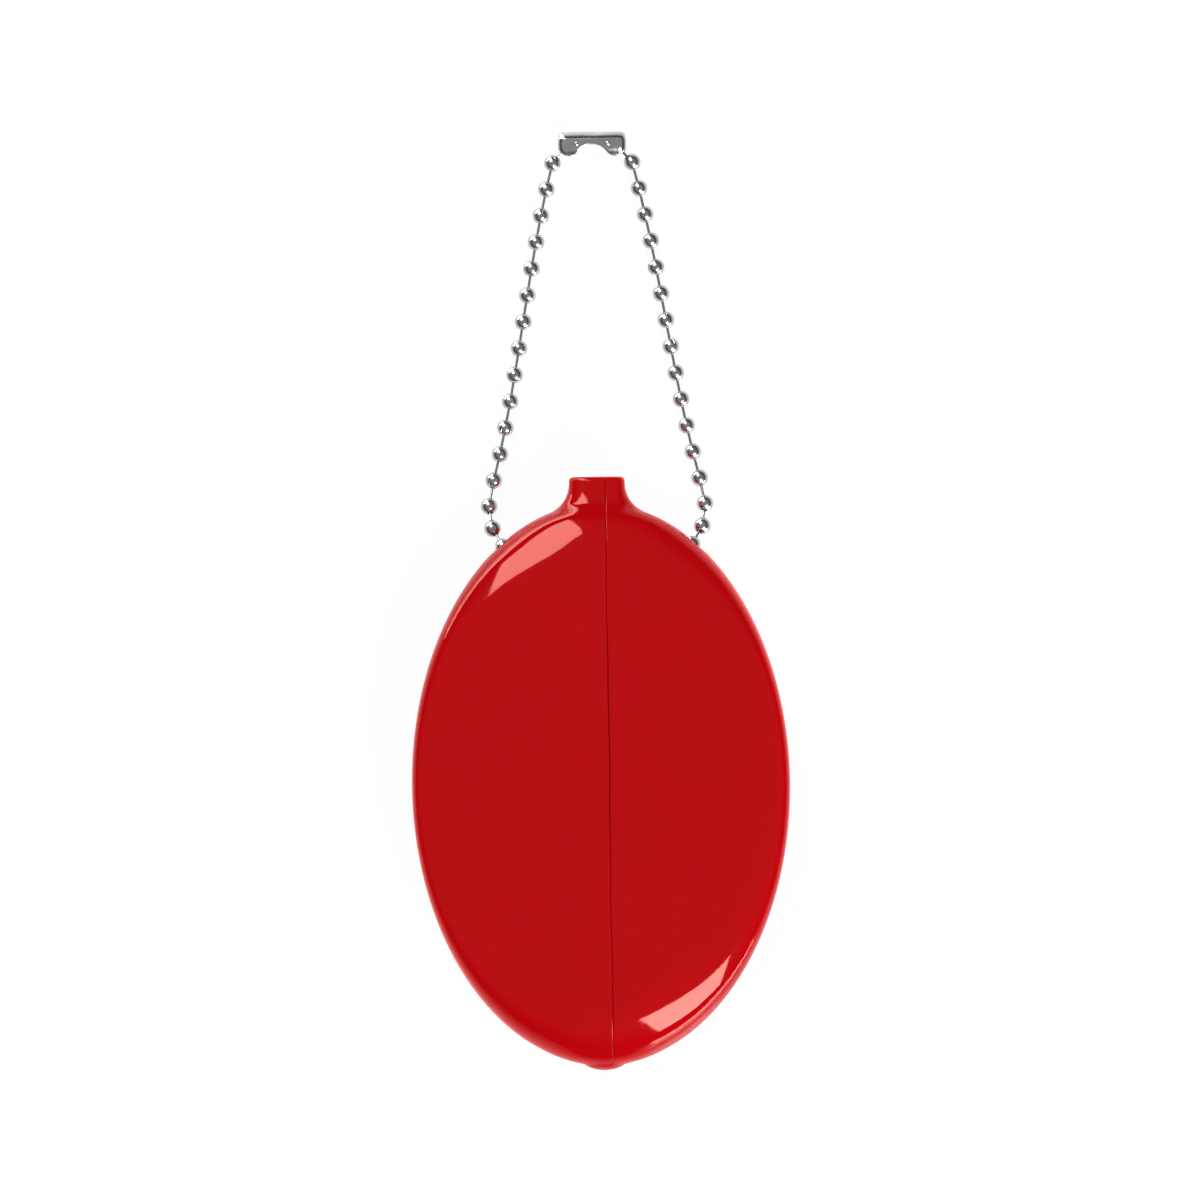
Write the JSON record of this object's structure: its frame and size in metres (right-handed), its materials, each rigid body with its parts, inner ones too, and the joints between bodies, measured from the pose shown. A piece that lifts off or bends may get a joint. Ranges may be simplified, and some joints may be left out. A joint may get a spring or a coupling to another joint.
{
  "type": "squeeze coin purse",
  "caption": "Oval squeeze coin purse of glossy vinyl with a full-length front slit, short open neck and a closed ball-chain loop through its shoulders.",
  "frame": {"origin": "middle of the flat on the pouch's back, where it rests", "axes": "+Z out of the slit side, +Y towards the neck and the chain, +X to the right seen from the front"},
  "size_m": [0.0534, 0.1327, 0.0129],
  "materials": {
    "vinyl": "glossy dip-moulded vinyl, slightly soft",
    "bead_steel": "bright nickel plate, pressed round",
    "link_steel": "bright nickel plate wire",
    "connector_steel": "bright nickel plate, pressed sheet"
  },
  "bodies": {
    "pouch": {"back_shell": "vinyl"},
    "left_lip": {"left_lip": "vinyl"},
    "right_lip": {"right_lip": "vinyl"},
    "chain_base": {"inner_beads": "bead_steel", "inner_links": "link_steel", "left_bead_16": "bead_steel", "right_bead_16": "bead_steel"},
    "row_15": {"left_bead_15": "bead_steel", "right_bead_15": "bead_steel", "links_15": "link_steel"},
    "row_14": {"left_bead_14": "bead_steel", "right_bead_14": "bead_steel", "links_14": "link_steel"},
    "row_13": {"left_bead_13": "bead_steel", "right_bead_13": "bead_steel", "links_13": "link_steel"},
    "row_12": {"left_bead_12": "bead_steel", "right_bead_12": "bead_steel", "links_12": "link_steel"},
    "row_11": {"left_bead_11": "bead_steel", "right_bead_11": "bead_steel", "links_11": "link_steel"},
    "row_10": {"left_bead_10": "bead_steel", "right_bead_10": "bead_steel", "links_10": "link_steel"},
    "row_09": {"left_bead_09": "bead_steel", "right_bead_09": "bead_steel", "links_09": "link_steel"},
    "row_08": {"left_bead_08": "bead_steel", "right_bead_08": "bead_steel", "links_08": "link_steel"},
    "row_07": {"left_bead_07": "bead_steel", "right_bead_07": "bead_steel", "links_07": "link_steel"},
    "row_06": {"left_bead_06": "bead_steel", "right_bead_06": "bead_steel", "links_06": "link_steel"},
    "row_05": {"left_bead_05": "bead_steel", "right_bead_05": "bead_steel", "links_05": "link_steel"},
    "row_04": {"left_bead_04": "bead_steel", "right_bead_04": "bead_steel", "links_04": "link_steel"},
    "row_03": {"left_bead_03": "bead_steel", "right_bead_03": "bead_steel", "links_03": "link_steel"},
    "row_02": {"left_bead_02": "bead_steel", "right_bead_02": "bead_steel", "links_02": "link_steel"},
    "row_01": {"left_bead_01": "bead_steel", "right_bead_01": "bead_steel", "links_01": "link_steel"},
    "connector": {"connector": "connector_steel", "left_connector_bead": "bead_steel", "right_connector_bead": "bead_steel", "links_00": "link_steel"}
  },
  "joints": [
    {"name": "left_lip_bend", "type": "hinge", "parent": "pouch", "child": "left_lip", "pos_m": [-0.0202, 0, 0.001], "axis": [0, -1, 0], "range_deg": [0, 24], "stiffness_Nm_per_rad": 0.02},
    {"name": "right_lip_bend", "type": "hinge", "parent": "pouch", "child": "right_lip", "pos_m": [0.0202, 0, 0.001], "axis": [0, 1, 0], "range_deg": [0, 24], "stiffness_Nm_per_rad": 0.02},
    {"name": "chain_swing", "type": "hinge", "parent": "pouch", "child": "chain_base", "pos_m": [0, 0.0337, 0.00638], "axis": [1, 0, 0], "range_deg": [-30, 90]},
    {"name": "fold_15", "type": "hinge", "parent": "chain_base", "child": "row_15", "pos_m": [0, 0.03408, 0.00604], "axis": [1, 0, 0], "range_deg": [-8, 8]},
    {"name": "fold_14", "type": "hinge", "parent": "row_15", "child": "row_14", "pos_m": [0, 0.03677, 0.00375], "axis": [1, 0, 0], "range_deg": [-8, 8]},
    {"name": "fold_13", "type": "hinge", "parent": "row_14", "child": "row_13", "pos_m": [0, 0.04, 0.00186], "axis": [1, 0, 0], "range_deg": [-8, 8]},
    {"name": "fold_12", "type": "hinge", "parent": "row_13", "child": "row_12", "pos_m": [0, 0.04367, 0.0012], "axis": [1, 0, 0], "range_deg": [-8, 8]},
    {"name": "fold_11", "type": "hinge", "parent": "row_12", "child": "row_11", "pos_m": [0, 0.04738, 0.0012], "axis": [1, 0, 0], "range_deg": [-8, 8]},
    {"name": "fold_10", "type": "hinge", "parent": "row_11", "child": "row_10", "pos_m": [0, 0.0511, 0.0012], "axis": [1, 0, 0], "range_deg": [-8, 8]},
    {"name": "fold_09", "type": "hinge", "parent": "row_10", "child": "row_09", "pos_m": [0, 0.05484, 0.0012], "axis": [1, 0, 0], "range_deg": [-8, 8]},
    {"name": "fold_08", "type": "hinge", "parent": "row_09", "child": "row_08", "pos_m": [0, 0.05858, 0.0012], "axis": [1, 0, 0], "range_deg": [-8, 8]},
    {"name": "fold_07", "type": "hinge", "parent": "row_08", "child": "row_07", "pos_m": [0, 0.06234, 0.0012], "axis": [1, 0, 0], "range_deg": [-8, 8]},
    {"name": "fold_06", "type": "hinge", "parent": "row_07", "child": "row_06", "pos_m": [0, 0.06609, 0.0012], "axis": [1, 0, 0], "range_deg": [-8, 8]},
    {"name": "fold_05", "type": "hinge", "parent": "row_06", "child": "row_05", "pos_m": [0, 0.06985, 0.0012], "axis": [1, 0, 0], "range_deg": [-8, 8]},
    {"name": "fold_04", "type": "hinge", "parent": "row_05", "child": "row_04", "pos_m": [0, 0.0736, 0.0012], "axis": [1, 0, 0], "range_deg": [-8, 8]},
    {"name": "fold_03", "type": "hinge", "parent": "row_04", "child": "row_03", "pos_m": [0, 0.07735, 0.0012], "axis": [1, 0, 0], "range_deg": [-8, 8]},
    {"name": "fold_02", "type": "hinge", "parent": "row_03", "child": "row_02", "pos_m": [0, 0.08108, 0.0012], "axis": [1, 0, 0], "range_deg": [-8, 8]},
    {"name": "fold_01", "type": "hinge", "parent": "row_02", "child": "row_01", "pos_m": [0, 0.0848, 0.0012], "axis": [1, 0, 0], "range_deg": [-8, 8]},
    {"name": "connector_fold", "type": "hinge", "parent": "row_01", "child": "connector", "pos_m": [0, 0.08837, 0.00125], "axis": [1, 0, 0], "range_deg": [-8, 8]}
  ],
  "couplings": [
    {"joint": "right_lip_bend", "follows": "left_lip_bend", "ratio": 1}
  ]
}
